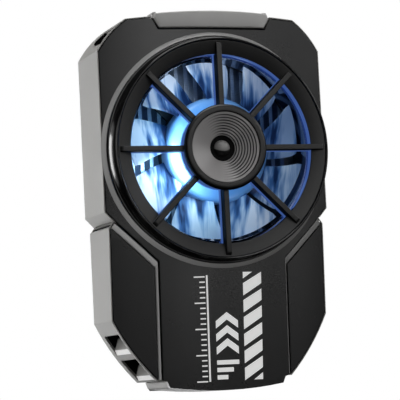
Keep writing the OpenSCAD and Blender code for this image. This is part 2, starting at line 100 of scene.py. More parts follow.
class Mat:
    """A node material: colour, roughness and relief come from noise in the object's own coordinates."""

    def __init__(self, name):
        self.m = bpy.data.materials.new(name)
        self.m.use_nodes = True
        self.t = self.m.node_tree
        self.t.nodes.clear()
        self.out = self.node("ShaderNodeOutputMaterial")
        self.b = self.node("ShaderNodeBsdfPrincipled")
        self.link(self.b.outputs["BSDF"], self.out.inputs["Surface"])
        self.co = self.node("ShaderNodeTexCoord").outputs["Object"]

    def node(self, kind, **kw):
        n = self.t.nodes.new(kind)
        for k, v in kw.items():
            setattr(n, k, v)
        return n

    def link(self, a, b):
        self.t.links.new(a, b)

    def set(self, **kw):
        for k, v in kw.items():
            self.b.inputs[k.replace("_", " ")].default_value = v
        return self

    def stretched(self, scale):
        n = self.node("ShaderNodeMapping")
        n.inputs["Scale"].default_value = scale
        self.link(self.co, n.inputs["Vector"])
        return n.outputs["Vector"]

    def noise(self, scale, detail=3.0, rough=0.5, vec=None, distortion=0.0):
        n = self.node("ShaderNodeTexNoise")
        n.inputs["Scale"].default_value = scale
        n.inputs["Detail"].default_value = detail
        n.inputs["Roughness"].default_value = rough
        n.inputs["Distortion"].default_value = distortion
        self.link(vec if vec is not None else self.co, n.inputs["Vector"])
        return n.outputs["Fac"]

    def ramp(self, fac, stops, mode="LINEAR"):
        n = self.node("ShaderNodeValToRGB")
        n.color_ramp.interpolation = mode
        el = n.color_ramp.elements
        while len(el) > 1:
            el.remove(el[-1])
        el[0].position, el[0].color = stops[0][0], (*stops[0][1], 1)
        for pos, col in stops[1:]:
            e = el.new(pos)
            e.color = (*col, 1)
        self.link(fac, n.inputs["Fac"])
        return n.outputs["Color"]

    def rng(self, fac, lo, hi, a=0.0, b=1.0):
        n = self.node("ShaderNodeMapRange")
        n.inputs["From Min"].default_value = a
        n.inputs["From Max"].default_value = b
        n.inputs["To Min"].default_value = lo
        n.inputs["To Max"].default_value = hi
        self.link(fac, n.inputs["Value"])
        return n.outputs["Result"]

    def math(self, op, x, y):
        n = self.node("ShaderNodeMath", operation=op)
        for i, v in enumerate((x, y)):
            if isinstance(v, (int, float)):
                n.inputs[i].default_value = v
            else:
                self.link(v, n.inputs[i])
        return n.outputs[0]

    def to(self, out, socket):
        self.link(out, self.b.inputs[socket])
        return self

    def relief(self, height, strength, distance, edge=0.0):
        n = self.node("ShaderNodeBump")
        n.inputs["Strength"].default_value = strength
        n.inputs["Distance"].default_value = distance
        self.link(height, n.inputs["Height"])
        if edge:
            e = self.node("ShaderNodeBevel")
            e.samples = 4
            e.inputs["Radius"].default_value = edge
            self.link(e.outputs["Normal"], n.inputs["Normal"])
        self.link(n.outputs["Normal"], self.b.inputs["Normal"])
        return self


def plastic(name, dark, light, rough, grain=2600.0, bump=0.12, blot=70.0, edge=0.00016, spec=0.5, coat=0.0):
    """Moulded plastic: slow colour drift, fine spark-eroded grain and uneven sheen."""
    m = Mat(name)
    slow, fine = m.noise(blot, 4), m.noise(grain, 3, 0.6)
    m.to(m.ramp(slow, [(0.3, dark), (0.7, light)]), "Base Color")
    m.to(m.rng(m.math("ADD", m.math("MULTIPLY", slow, 0.6), m.math("MULTIPLY", fine, 0.4)), rough[0], rough[1], 0.3, 0.7), "Roughness")
    m.relief(fine, bump, 0.00006, edge)
    m.set(Specular_IOR_Level=spec)
    if coat:
        m.set(Coat_Weight=coat, Coat_Roughness=0.08)
    return m


def metal(name, dark, light, rough, stretch=(60, 60, 6000), bump=0.1, edge=0.00012):
    """Metal with drawn or ground lines along one direction."""
    m = Mat(name)
    line, slow = m.noise(1.0, 4, 0.65, m.stretched(stretch)), m.noise(160, 3)
    both = m.math("ADD", m.math("MULTIPLY", line, 0.7), m.math("MULTIPLY", slow, 0.3))
    m.to(m.ramp(both, [(0.3, dark), (0.7, light)]), "Base Color")
    m.to(m.rng(both, rough[0], rough[1], 0.3, 0.7), "Roughness")
    m.relief(line, bump, 0.00002, edge)
    m.set(Metallic=1.0)
    return m


G = lambda v: (v, v, v)
M = {}
M["cover"] = plastic("cover_black_satin", (0.0125, 0.0125, 0.0128), (0.0155, 0.0155, 0.0157), (0.26, 0.32))
M["shell"] = plastic("shell_grey_satin", (0.385, 0.380, 0.363), (0.415, 0.409, 0.392), (0.42, 0.5), grain=2200)
M["trim"] = plastic("trim_grey_paint", (0.25, 0.248, 0.245), (0.28, 0.278, 0.275), (0.38, 0.45), grain=3800, bump=0.06)
M["drum"] = plastic("drum_gloss_black", (0.0035, 0.0035, 0.0037), (0.005, 0.005, 0.0052), (0.12, 0.16), grain=3000, bump=0.02)
M["grille"] = plastic("grille_black_satin", (0.010, 0.010, 0.0102), (0.013, 0.013, 0.0132), (0.36, 0.43))
# painted light: the bevel strips use a lighter copy of the trim grey, standing in for the extra light they catch
M["strip"] = plastic("strip_grey_lit_copy", (0.31, 0.308, 0.304), (0.345, 0.342, 0.338), (0.38, 0.45), grain=3800, bump=0.06)
# painted shade: a blacker copy of the grille plastic for the faces that turn away from the light
M["grille_side"] = plastic("grille_side_painted_shade", (0.0012, 0.0012, 0.0013), (0.002, 0.002, 0.0021), (0.5, 0.6), spec=0.12)
# painted shade: near-black for the sheets set into seams, vent pockets and the hub hole where there is only shade
M["pit"] = plastic("shade_black", (0.0008, 0.0008, 0.0008), (0.0016, 0.0016, 0.0016), (0.55, 0.65), spec=0.1)
M["inner"] = plastic("inner_black_matte", (0.012, 0.012, 0.014), (0.02, 0.02, 0.022), (0.5, 0.6))
M["back"] = plastic("rear_cover_black", (0.016, 0.016, 0.017), (0.022, 0.022, 0.023), (0.48, 0.58), grain=1900, bump=0.2)
M["jaw"] = plastic("jaw_grey", (0.45, 0.446, 0.437), (0.50, 0.495, 0.485), (0.4, 0.48), grain=2600, bump=0.08)
M["ledge"] = plastic("ledge_light", (0.88, 0.875, 0.86), (0.94, 0.935, 0.92), (0.36, 0.44), grain=2600, bump=0.06)
M["rubber"] = plastic("rubber_black", (0.012, 0.012, 0.012), (0.02, 0.02, 0.02), (0.7, 0.82), grain=1500, bump=0.35)
M["pad"] = plastic("silicone_grey", (0.16, 0.17, 0.185), (0.2, 0.21, 0.225), (0.55, 0.68), grain=1200, bump=0.3)
M["foam"] = plastic("foam_black", (0.01, 0.01, 0.01), (0.03, 0.03, 0.03), (0.85, 0.95), grain=1400, bump=0.6)
M["ceramic"] = plastic("ceramic_white", (0.68, 0.68, 0.66), (0.76, 0.76, 0.74), (0.4, 0.5), grain=1800, bump=0.1)
M["pellet"] = plastic("pellet_grey", (0.10, 0.10, 0.11), (0.16, 0.16, 0.17), (0.4, 0.55), grain=1600, bump=0.2)
M["board"] = plastic("board_green", (0.006, 0.035, 0.018), (0.012, 0.06, 0.03), (0.3, 0.4), grain=1700, bump=0.1, blot=420)
M["chip"] = plastic("chip_black", (0.01, 0.01, 0.011), (0.02, 0.02, 0.021), (0.45, 0.6), grain=2600, bump=0.15)
M["magnet"] = plastic("magnet_dark", (0.02, 0.02, 0.022), (0.035, 0.035, 0.037), (0.5, 0.65), grain=1300, bump=0.3)
M["alu"] = metal("aluminium_drawn", (0.62, 0.63, 0.65), (0.74, 0.75, 0.77), (0.28, 0.42))
M["alu_face"] = metal("aluminium_milled", (0.36, 0.37, 0.39), (0.47, 0.48, 0.50), (0.38, 0.50), stretch=(5000, 60, 90))
# painted light: the shroud metal is tinted navy for the cast of the blue lamps
M["wall"] = metal("shroud_wall_painted_blue_cast", (0.26, 0.32, 0.44), (0.32, 0.38, 0.50), (0.07, 0.13))
M["steel"] = metal("steel_turned", (0.42, 0.42, 0.43), (0.56, 0.56, 0.57), (0.25, 0.38), stretch=(900, 5000, 900))
M["dark_steel"] = metal("steel_black", (0.05, 0.05, 0.052), (0.09, 0.09, 0.092), (0.32, 0.42), stretch=(900, 5000, 900))
M["brass"] = metal("bronze_sintered", (0.42, 0.26, 0.11), (0.55, 0.36, 0.17), (0.35, 0.5), stretch=(1500, 1500, 1500))
M["copper"] = metal("copper_wire", (0.50, 0.19, 0.08), (0.68, 0.29, 0.13), (0.28, 0.4), stretch=(300, 300, 9000), bump=0.4)

# white ink of the panel marks, with a painted glow: the ink is given emission so it reads brighter than the lamps make
# it
ink = M["ink"] = Mat("ink_white")
ink_noise = ink.noise(1600, 4, 0.7)
ink.to(ink.ramp(ink_noise, [(0.25, (0.70, 0.70, 0.69)), (0.6, (0.80, 0.80, 0.79))]), "Base Color")
ink.to(ink.rng(ink_noise, 0.5, 0.62), "Roughness")
ink.relief(ink_noise, 0.08, 0.00002)
# painted glow: emission on the ink, which is no lamp
ink.set(Emission_Color=(1.0, 1.0, 0.99, 1), Emission_Strength=0.42)


# centre stud: satin grey crown with painted shade, a near-black lower part that stands in for the shade on its
# underside
stud_m = M["stud"] = Mat("stud_painted_lower_shade")
s_sep = stud_m.node("ShaderNodeSeparateXYZ")
stud_m.link(stud_m.co, s_sep.inputs[0])
s_x2 = stud_m.math("MULTIPLY", stud_m.math("MULTIPLY", s_sep.outputs["X"], s_sep.outputs["X"]), 180.0)
s_edge = stud_m.math("SUBTRACT", s_sep.outputs["Z"], s_x2)
# painted shade: below a curved line across the stud the colour ramps to near black
s_fac = stud_m.rng(s_edge, 0.0, 1.0, -0.00085, -0.00060)
s_fac = stud_m.math("ADD", s_fac, stud_m.math("MULTIPLY", stud_m.math("SUBTRACT", stud_m.noise(900, 3), 0.5), 0.12))
stud_m.to(stud_m.ramp(s_fac, [(0.0, (0.006, 0.006, 0.006)), (1.0, (0.36, 0.355, 0.35))]), "Base Color")
stud_m.to(stud_m.rng(s_fac, 0.5, 0.36), "Roughness")
stud_m.relief(stud_m.noise(3600, 3), 0.04, 0.00004)
stud_m.set(Specular_IOR_Level=0.35)

# satin grey of the hub disc: the fine grooves carry painted shade, dark lines that fade out towards the left, as the
# light shows the grooves on the right side only
disc = M["disc"] = Mat("disc_grey_satin")
d_sep = disc.node("ShaderNodeSeparateXYZ")
disc.link(disc.co, d_sep.inputs[0])
dx, dz = d_sep.outputs["X"], d_sep.outputs["Z"]
d_r = disc.math("SQRT", disc.math("ADD", disc.math("MULTIPLY", dx, dx), disc.math("MULTIPLY", dz, dz)), 0.0)
d_turn = disc.math("FRACT", disc.math("DIVIDE", disc.math("SUBTRACT", d_r, 0.0030), 0.0006), 0.0)
d_off = disc.math("ABSOLUTE", disc.math("SUBTRACT", d_turn, 0.5), 0.0)
d_cos = disc.math("DIVIDE", disc.math("ADD", disc.math("MULTIPLY", dx, 0.956), disc.math("MULTIPLY", dz, 0.292)), d_r)
d_fade = disc.rng(d_cos, 0.0, 1.0, -0.42, 0.3)
# painted shade in the grooves, faded out towards the left by d_fade
d_line = disc.math("MULTIPLY", disc.rng(d_off, 1.0, 0.0, 0.14, 0.27), disc.math("LESS_THAN", d_r, 0.00775))
d_mask = disc.math("MULTIPLY", d_line, d_fade)
d_slow = disc.noise(90, 4)
d_grey = disc.ramp(d_slow, [(0.3, (0.32, 0.31, 0.31)), (0.7, (0.35, 0.34, 0.34))])
d_mix = disc.node("ShaderNodeMix", data_type="RGBA")
disc.link(d_mask, d_mix.inputs["Factor"])
disc.link(d_grey, d_mix.inputs[6])
d_mix.inputs[7].default_value = (0.012, 0.012, 0.012, 1)
disc.to(d_mix.outputs[2], "Base Color")
disc.to(disc.rng(d_slow, 0.30, 0.36), "Roughness")
disc.relief(disc.noise(4200, 3, 0.6), 0.05, 0.00006)


def glow_mat(name, stops, strength, base, rough, alpha=None, radial=0.0125, r0=0.0, streak=None):
    """Milky plastic lit from inside: the glow follows the distance from the fan axis."""
    m = Mat(name)
    sep = m.node("ShaderNodeSeparateXYZ")
    m.link(m.co, sep.inputs[0])
    x2 = m.math("MULTIPLY", sep.outputs["X"], sep.outputs["X"])
    z2 = m.math("MULTIPLY", sep.outputs["Z"], sep.outputs["Z"])
    r = m.math("SQRT", m.math("ADD", x2, z2), 0.0)
    cloud = m.noise(260, 3, 0.55)
    fac = m.rng(r, 0.0, 1.0, r0, r0 + radial)
    fac = m.math("ADD", fac, m.math("MULTIPLY", m.math("SUBTRACT", cloud, 0.5), 0.18))
    m.to(m.ramp(fac, stops), "Emission Color")
    m.set(Emission_Strength=strength)
    tone = cloud if streak is None else m.noise(1.0, 4, 0.6, m.stretched(streak))
    m.to(m.ramp(tone, [(0.3, base[0]), (0.7, base[1])]), "Base Color")
    m.to(m.rng(cloud, rough[0], rough[1]), "Roughness")
    m.relief(m.noise(1800, 2), 0.05, 0.00004)
    if alpha is not None:
        m.set(Alpha=alpha)
    return m


M["guide"] = glow_mat("light_guide_blue", [(0.0, (0.07, 0.15, 0.46)), (1.0, (0.06, 0.13, 0.42))], 0.62, ((0.02, 0.04, 0.12), (0.03, 0.06, 0.16)), (0.2, 0.3), radial=0.025)
M["hub"] = glow_mat("hub_milky", [(0.0, (0.3, 0.75, 1.0)), (1.0, (0.25, 0.6, 1.0))], 0.02, ((0.17, 0.37, 0.66), (0.23, 0.43, 0.72)), (0.3, 0.4), radial=0.0125)
M["led"] = glow_mat("led_white", [(0.0, (0.5, 0.8, 1.0)), (1.0, (0.6, 0.9, 1.0))], 1.0, ((0.7, 0.8, 0.9), (0.8, 0.9, 1.0)), (0.2, 0.3), radial=0.0125)
# painted light: the fins' colour is tinted blue for the cast of the blue lamps
M["fin"] = metal("aluminium_fins_painted_blue_cast", (0.30, 0.36, 0.45), (0.52, 0.60, 0.70), (0.3, 0.42))

# milky blades: deep blue at the hub, pale at the tips, with long upright streaks; the navy-to-white streaks are painted
# highlights and painted shade of the blue lamp light, and the faint emission is a painted glow
blade = M["blade"] = Mat("blade_milky")
b_sep = blade.node("ShaderNodeSeparateXYZ")
blade.link(blade.co, b_sep.inputs[0])
b_r = blade.math("SQRT", blade.math("ADD", blade.math("MULTIPLY", b_sep.outputs["X"], b_sep.outputs["X"]), blade.math("MULTIPLY", b_sep.outputs["Z"], b_sep.outputs["Z"])), 0.0)
b_out = blade.rng(b_r, 0.0, 1.0, 0.0125, 0.0195)
b_streak = blade.noise(1.0, 3, 0.55, blade.stretched((430, 120, 48)), 0.35)
b_blot = blade.noise(130, 2, 0.5)
b_tone = blade.math("ADD", blade.math("MULTIPLY", b_streak, 1.10), blade.math("MULTIPLY", b_blot, 0.40))
b_tone = blade.math("ADD", b_tone, blade.math("MULTIPLY", b_out, 0.30))
b_tone = blade.math("SUBTRACT", b_tone, 0.46)
blade.to(blade.ramp(b_tone, [(0.27, (0.008, 0.028, 0.09)), (0.38, (0.09, 0.21, 0.43)), (0.47, (0.48, 0.60, 0.75)), (0.58, (0.97, 0.98, 1.0))]), "Base Color")
blade.to(blade.rng(b_streak, 0.3, 0.42), "Roughness")
blade.relief(b_streak, 0.1, 0.0001)
# painted glow: faint blue emission on the blades, which are no lamp
blade.to(blade.ramp(b_tone, [(0.25, (0.004, 0.012, 0.04)), (0.6, (0.03, 0.07, 0.16))]), "Emission Color")
blade.set(Emission_Strength=0.25, Alpha=0.94)

# fixed jaw: shell grey with painted shade, the downward faces and the forward faces near the front coloured near black
# for the shadow under the front cover
foot = M["foot"] = Mat("foot_painted_underside_shade")
f_slow, f_fine = foot.noise(70, 4), foot.noise(2200, 3, 0.6)
f_geo, f_sep = foot.node("ShaderNodeNewGeometry"), foot.node("ShaderNodeSeparateXYZ")
foot.link(f_geo.outputs["True Normal"], f_sep.inputs[0])
f_mix = foot.node("ShaderNodeMix", data_type="RGBA")
f_pos = foot.node("ShaderNodeSeparateXYZ")
foot.link(foot.co, f_pos.inputs[0])
# painted shade: faces that point down, and forward-facing faces near the front, take the near-black colour
f_front = foot.math("MULTIPLY", foot.math("LESS_THAN", f_sep.outputs["Y"], -0.8), foot.math("LESS_THAN", f_pos.outputs["Y"], -0.010))
foot.link(foot.math("MAXIMUM", foot.math("LESS_THAN", f_sep.outputs["Z"], -0.8), f_front), f_mix.inputs["Factor"])
foot.link(foot.ramp(f_slow, [(0.3, (0.385, 0.380, 0.363)), (0.7, (0.415, 0.409, 0.392))]), f_mix.inputs[6])
foot.link(foot.ramp(f_slow, [(0.3, (0.004, 0.004, 0.004)), (0.7, (0.007, 0.007, 0.007))]), f_mix.inputs[7])
foot.to(f_mix.outputs[2], "Base Color")
foot.to(foot.rng(foot.math("ADD", foot.math("MULTIPLY", f_slow, 0.6), foot.math("MULTIPLY", f_fine, 0.4)), 0.42, 0.5, 0.3, 0.7), "Roughness")
foot.relief(f_fine, 0.12, 0.00006, 0.00016)

USE = {
    "rear_shell": "shell", "rear_cover": "back", "front_cover": "cover", "left_wing_panel": "cover", "right_wing_panel": "cover",
    "left_bevel_trim": "trim", "right_bevel_trim": "trim", "ring_trim": "trim", "bezel_drum": "drum", "grille": "grille", "light_guide": "guide",
    "hub_disc": "disc", "hub_stud": "stud", "fan_shroud": "wall", "fan_frame": "inner", "led_board": "board", "leds": "led",
    "bearing_sleeve": "brass", "stator_core": "steel", "stator_coils": "copper", "impeller": "blade", "rotor_yoke": "steel", "rotor_magnet": "magnet",
    "shaft": "steel", "heat_sink": "fin", "fan_screws": "steel", "tec_hot_plate": "ceramic", "tec_pellets": "pellet", "tec_cold_plate": "ceramic",
    "insulation_frame": "foam", "cold_plate": "alu_face", "thermal_pad": "pad", "control_board": "board", "board_parts": "chip", "board_screws": "steel",
    "usb_port": "steel", "upper_jaw": "jaw", "upper_jaw_pad": "rubber", "lower_jaw": "foot", "lower_jaw_pad": "rubber", "left_spring": "steel",
    "right_spring": "steel", "spring_posts": "steel", "case_screws": "dark_steel",
}
for n, key in USE.items():
    o = NODES[n]
    o.data.materials.clear()
    o.data.materials.append(M[key].m)


# ------------------------------------------------------------------ broken edges of the plain solids

for n, width in (("lower_jaw", 0.35), ("upper_jaw_pad", 0.2), ("lower_jaw_pad", 0.2), ("cold_plate", 0.25), ("thermal_pad", 0.12), ("upper_jaw", 0.35)):
    o = NODES[n]
    weld = o.modifiers.new("weld", "WELD")
    weld.merge_threshold = 1e-6
    flat = o.modifiers.new("flat", "DECIMATE")
    flat.decimate_type = "DISSOLVE"
    flat.angle_limit = math.radians(0.05)
    bev = o.modifiers.new("edges", "BEVEL")
    bev.width = width * 0.001
    bev.segments = 3
    bev.limit_method = "ANGLE"
    bev.angle_limit = math.radians(50)
    bev.use_clamp_overlap = False
    bev.harden_normals = True


# ------------------------------------------------------------------ mesh tools


def make(name, bm, mat, body, angle=32.0):
    bmesh.ops.recalc_face_normals(bm, faces=bm.faces)
    me = bpy.data.meshes.new(name)
    bm.to_mesh(me)
    bm.free()
    for p in me.polygons:
        p.use_smooth = True
    me.set_sharp_from_angle(angle=math.radians(angle))
    me.materials.append(M[mat].m)
    o = bpy.data.objects.new(name, me)
    bpy.context.scene.collection.objects.link(o)
    if body:
        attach(o, body)
    return o


def second(o, mat, test):
    """Gives the faces that pass the test a second material."""
    o.data.materials.append(M[mat].m)
    for p in o.data.polygons:
        if test(p):
            p.material_index = 1


def add_lathe(bm, loop, n=192, f=None):
    """Closed ring about the fan axis from a closed (radius, depth) loop; f may shift the depth by angle."""
    rings = []
    for i in range(n):
        t = 2 * math.pi * i / n
        ring = []
        for k, (r, y) in enumerate(loop):
            x, z = r * math.cos(t), r * math.sin(t)
            yy = y if f is None else f(k, x, z, y, t)
            ring.append(bm.verts.new(P(x, yy, z)))
        rings.append(ring)
    m = len(loop)
    for i in range(n):
        a, b = rings[i], rings[(i + 1) % n]
        for k in range(m):
            j = (k + 1) % m
            bm.faces.new((a[k], a[j], b[j], b[k]))


def add_solid_lathe(bm, prof, n=128):
    """Body about the fan axis from an open (radius, depth) profile whose two ends lie on the axis."""
    first, last = bm.verts.new(P(0, prof[0][1], 0)), bm.verts.new(P(0, prof[-1][1], 0))
    mid = prof[1:-1]
    rings = [[bm.verts.new(P(r * math.cos(2 * math.pi * i / n), y, r * math.sin(2 * math.pi * i / n))) for i in range(n)] for r, y in mid]
    for i in range(n):
        j = (i + 1) % n
        bm.faces.new((first, rings[0][i], rings[0][j]))
        bm.faces.new((last, rings[-1][j], rings[-1][i]))
        for a, b in zip(rings, rings[1:]):
            bm.faces.new((a[i], b[i], b[j], a[j]))


def add_sweep(bm, sections):
    """Closed bar through equal closed sections, with flat ends."""
    rows = [[bm.verts.new(p) for p in s] for s in sections]
    m = len(rows[0])
    for a, b in zip(rows, rows[1:]):
        for k in range(m):
            j = (k + 1) % m
            bm.faces.new((a[k], a[j], b[j], b[k]))
    bm.faces.new(rows[0])
    bm.faces.new(list(reversed(rows[-1])))


def fillet(loop, radii, n=5):
    """Rounds the corners of a closed 2-D loop."""
    out, m = [], len(loop)
    for i, p in enumerate(loop):
        rad = radii[i] if isinstance(radii, (list, tuple)) else radii
        p = Vector(p)
        a, b = Vector(loop[i - 1]) - p, Vector(loop[(i + 1) % m]) - p
        ang = a.angle(b)
        if rad <= 0 or ang > 3.1:
            out.append(tuple(p))
            continue
        d = min(rad / math.tan(ang / 2), a.length * 0.49, b.length * 0.49)
        s, e = p + a.normalized() * d, p + b.normalized() * d
        for k in range(n + 1):
            t = k / n
            out.append(tuple((1 - t) ** 2 * s + 2 * t * (1 - t) * p + t * t * e))
    return out


# ------------------------------------------------------------------ grey trims

# ring band round the fan: a bevel that follows the crowned front
bm = bmesh.new()
RING = [(27.5, 0.0, 0.02), (27.42, 0.0, -0.10), (26.72, 0.0, -0.82), (26.60, 0.0, -0.92), (26.50, 0.0, -0.93), (26.50, 0.0, 0.02)]
add_lathe(bm, [(r, 0.0) for r, _, _ in RING], 256, lambda k, x, z, y, t: front(x, z, 0.0) + RING[k][2])
ring = make("ring_band", bm, "trim", "housing", 28)
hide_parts("ring_trim")

# bevel strips between the middle panel and the wings
wn = Vector((Z4 - ZQ, -(C - Q))).normalized()
along = Vector((C - Q, Z4 - ZQ)).normalized()
p4 = Vector((C, Z4))
k_slope = (Z4 - ZQ) / (C - Q)


def diag(x, d):
    """Height at x of the slanted edge, set d away from the front plate."""
    return Z4 + d * wn.y - k_slope * (C + d * wn.x - x)


inner_path = [p4 + wn * 0.27 - along * 0.2, Vector((Q + 0.27, diag(Q + 0.27, 0.27))), Vector((Q + 0.27, ZW3))]
outer_path = [p4 + wn * 1.6 - along * 0.37, Vector((Q + 0.85, diag(Q + 0.85, 1.6))), Vector((Q + 0.85, ZW3))]
strips = []
for side, node in ((-1, "left_bevel_trim"), (1, "right_bevel_trim")):
    secs = []
    for seg in range(2):
        for i in range(17 if seg else 16):
            t = i / 16
            pi_, po = lerp(inner_path[seg], inner_path[seg + 1], t), lerp(outer_path[seg], outer_path[seg + 1], t)
            sec = []
            for s, o in ((0.0, 1.72), (0.0, 0.68), (0.02, 0.63), (0.06, 0.61), (0.93, 1.28), (0.97, 1.33), (1.0, 1.40), (1.0, 1.72)):
                w = lerp(pi_, po, s)
                sec.append(P(side * w.x, front(w.x, w.y, o), w.y))
            secs.append(sec)
    bm = bmesh.new()
    add_sweep(bm, secs)
    piece = make(node.replace("_trim", "_strip"), bm, "strip", "housing", 25)
    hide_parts(node)
    strips.append(piece)

# ------------------------------------------------------------------ black ribbons in the seams, painted shade of the seam gaps

GAP = 0.08 - 0.23


def arc(p, e, s, n=8):
    p, e = Vector(p), Vector(e)
    d = e - p
    nn = Vector((-d.y, d.x)) / d.length
    return [p + d * (i / n) + nn * (s * 4 * (i / n) * (1 - i / n)) for i in range(n + 1)]


def ribbon(bm, path, side, near, far, o0, o1, left=True):
    """Thin upright band beside a path in the front, from setback o0 to o1."""
    secs = []
    for i, p in enumerate(path):
        a = (p - path[i - 1]).normalized() if i else (path[1] - p).normalized()
        b = (path[i + 1] - p).normalized() if i + 1 < len(path) else a
        na, nb = Vector((a.y, -a.x)), Vector((b.y, -b.x))
        n = (na + nb).normalized()
        n /= max(0.4, n.dot(na))
        n = -n if left else n
        sec = []
        for d, o in ((near, o0), (far, o0), (far, o1), (near, o1)):
            w = p + n * d
            sec.append(P(side * w.x, front(w.x, w.y, o), w.y))
        secs.append(sec)
    add_sweep(bm, secs)


top_edge = [v for v in arc((-XT - 0.44 * GAP, ZT + GAP), (XT + 0.44 * GAP, ZT + GAP), 0.95, 32) if v.x > 14.7]
cover_path = top_edge + arc((XT + 0.44 * GAP, ZT + GAP), (A + GAP, Z1 + 0.39 * GAP), 0.55)[1:]
cover_path += [Vector(v) for v in ((A + GAP, Z3 - 0.4 * GAP), (C + 1.2 * GAP, Z4), (Q, ZQ), (Q, ZW3 - 0.1))]
wing_path = [Vector((AW + GAP, ZW1 + 0.4 * GAP - 1.2)), Vector((AW + GAP, -28.0))] + arc((AW + GAP, ZW2 - 0.32 * GAP), (CW + 0.52 * GAP, ZW3 - GAP), 0.7)
bm = bmesh.new()
for side in (-1, 1):
    ribbon(bm, cover_path, side, 0.005, 0.085, 0.06, 0.84)
    ribbon(bm, wing_path, side, 0.005, 0.085, 0.97, 1.68)
make("seam_shade_ribbons", bm, "pit", "housing", 30)

# ------------------------------------------------------------------ vents and slots of the shell

W2, W3 = Vector((AW + 0.3, ZW2 - 0.1)), Vector((CW + 0.16, ZW3 - 0.3))
WL = (W3 - W2).length
wu = (W3 - W2) / WL
wi = Vector((wu.y, -wu.x))
T1, T2 = Vector((A + 0.3, Z1 + 0.1)), Vector((XT + 0.13, ZT + 0.3))
TL = (T2 - T1).length
tu = (T2 - T1) / TL
ti = Vector((-tu.y, tu.x))


def low(s, n):
    return W2 + wu * (s * WL) + wi * n


def under(s, d):
    return low(s, d - 2.8 * s * (1 - s))


def add_prism(bm, pts, y0, y1, side=1):
    a = [bm.verts.new(P(side * p.x, y0, p.y)) for p in pts]
    b = [bm.verts.new(P(side * p.x, y1, p.y)) for p in pts]
    n = len(pts)
    bm.faces.new(a)
    bm.faces.new(list(reversed(b)))
    for i in range(n):
        j = (i + 1) % n
        bm.faces.new((a[i], b[i], b[j], a[j]))


# black sheets in the corner pockets, the top slots and the side slots, painted shade of their insides, and pale lips at
# the pockets' lower ends
shade_sheet, lips = bmesh.new(), bmesh.new()
for side in (-1, 1):
    for s0, s1, y0 in ((0.2, 0.51, 3.0), (0.6, 0.97, 2.5)):
        y1 = 14.6
        add_prism(shade_sheet, [low(s0 + 0.004, 3.18), low(s1 - 0.172, 3.18), low(s1 - 0.172, 3.56), low(s0 + 0.004, 3.56)], y0 + 0.04, y1 - 0.04, side)
        back = [under(s0 + 0.006, 0.55), under((s0 + s1) / 2, 0.55), under(s1 - 0.09, 0.62), under(s1 - 0.178, 2.45), low(s1 - 0.178, 3.16), low(s0 + 0.006, 3.16)]
        add_prism(shade_sheet, back, y1 - 0.16, y1 - 0.03, side)
        add_prism(shade_sheet, [under(s0 + 0.004, 0.7), under(s0 + 0.016, 0.7), low(s0 + 0.016, 3.16), low(s0 + 0.004, 3.16)], y0 + 0.5, y1 - 0.17, side)
        lip = [under(s1 - 0.003, 0.0), under(s1 - 0.073, 0.29), under(s1 - 0.0735, 0.42), under(s1 - 0.003, 0.14)]
        add_prism(lips, lip, y0 + 0.1, y1 - 0.2, side)
    top = [T1 + tu * (0.17 * TL) + ti * 2.1, T1 + tu * (0.83 * TL) + ti * 2.1, T1 + tu * (0.83 * TL) + ti * 2.5, T1 + tu * (0.17 * TL) + ti * 2.5]
    add_prism(shade_sheet, top, 2.4, 11.2, side)
    far = [T1 + tu * (0.165 * TL) - ti * 0.1, T1 + tu * (0.5 * TL) - ti * 0.6, T1 + tu * (0.835 * TL) - ti * 0.1, T1 + tu * (0.835 * TL) + ti * 2.1, T1 + tu * (0.165 * TL) + ti * 2.1]
    add_prism(shade_sheet, far, 10.7, 11.15, side)
    notch = [Vector((C - 0.06, Z4 - 0.98)), Vector((C + 0.32, Z4 - 0.98)), Vector((C + 0.32, Z4 - 0.44)), Vector((C - 0.06, Z4 - 0.44))]
    add_prism(shade_sheet, notch, 1.56, 16.2, side)
make("vent_shade_sheets", shade_sheet, "pit", "housing", 30)
lip_obj = make("vent_lips", lips, "ledge", "housing", 30)

# shoulders behind the ends of the sliding tab
bm = bmesh.new()
for side in (-1, 1):
    add_prism(bm, [Vector(v) for v in ((13.2, 31.0), (14.06, 31.0), (14.1, 31.06), (14.1, 32.2), (14.02, 32.34), (13.86, 32.42), (13.2, 32.5))], -0.9, 2.9, side)
make("tab_shoulders", bm, "jaw", "jaw", 30)

# ------------------------------------------------------------------ drum, grille and hub

bm = bmesh.new()
DRUM = [(24.0, 0.88), (25.9, 0.88)] + [(26.4 - 0.55 * ((y + 2.3) / 3.3) ** 2, y) for y in [0.6 - 0.3175 * i for i in range(21)]]
DRUM += [(25.78, -5.9), (25.75, -6.02), (25.68, -6.12), (25.6, -6.18), (25.5, -6.2), (25.4, -6.17), (25.31, -6.11), (25.24, -6.02), (25.21, -5.92), (25.2, -5.8), (25.2, -3.2), (24.0, -3.2)]
add_lathe(bm, DRUM, 256)
drum = make("bezel_ring", bm, "drum", "housing", 40)
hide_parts("bezel_drum")

